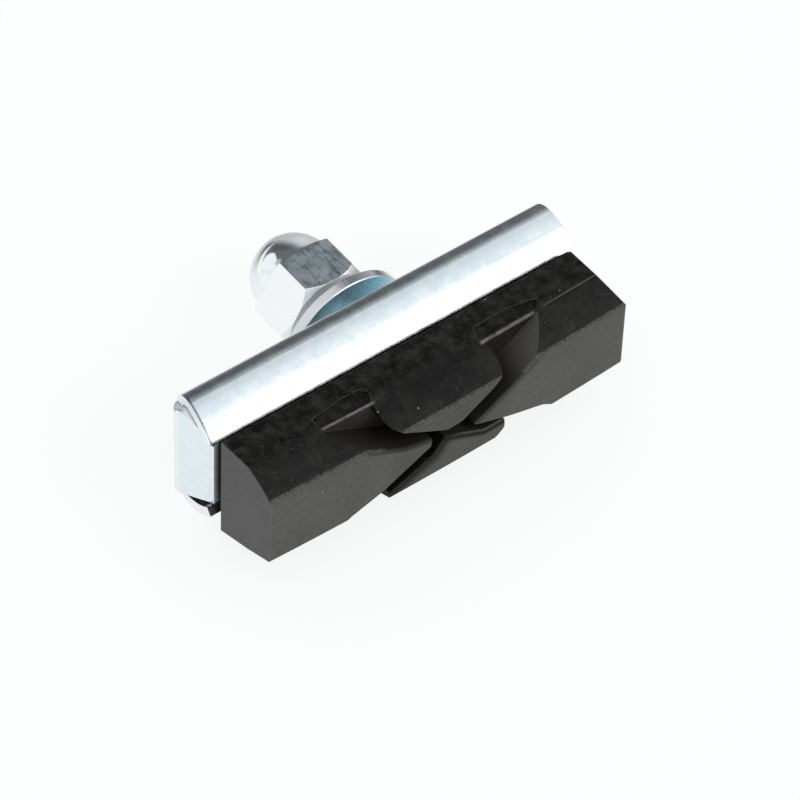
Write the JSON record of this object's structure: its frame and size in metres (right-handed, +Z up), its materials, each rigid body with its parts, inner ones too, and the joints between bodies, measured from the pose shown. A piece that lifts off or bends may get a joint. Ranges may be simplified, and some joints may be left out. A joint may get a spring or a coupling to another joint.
{
  "type": "bicycle rim brake pad",
  "caption": "Rim brake pad: a grooved black rubber block in a plated pressed-steel holder with a threaded stud, flat washer and dome nut.",
  "frame": {"origin": "on the stud's axis at the outer face of the holder's back web", "axes": "+X along the pad away from the closed end, +Y along the stud away from the brake face, +Z up as the pad lies on its long side"},
  "size_m": [0.0447, 0.03, 0.015],
  "materials": {
    "rubber": "matt black moulded rubber, a little dusty, edges worn grey",
    "plated_sheet": "bright zinc plate, bluish, faintly mottled",
    "stud_steel": "bright zinc plate on a rolled thread",
    "washer_steel": "bright zinc plate",
    "nut_plating": "bright plate over a drawn hexagon"
  },
  "bodies": {
    "root": {"brake_block": "rubber", "holder": "plated_sheet", "stud": "stud_steel", "washer": "washer_steel", "cap_nut": "nut_plating"}
  },
  "joints": []
}
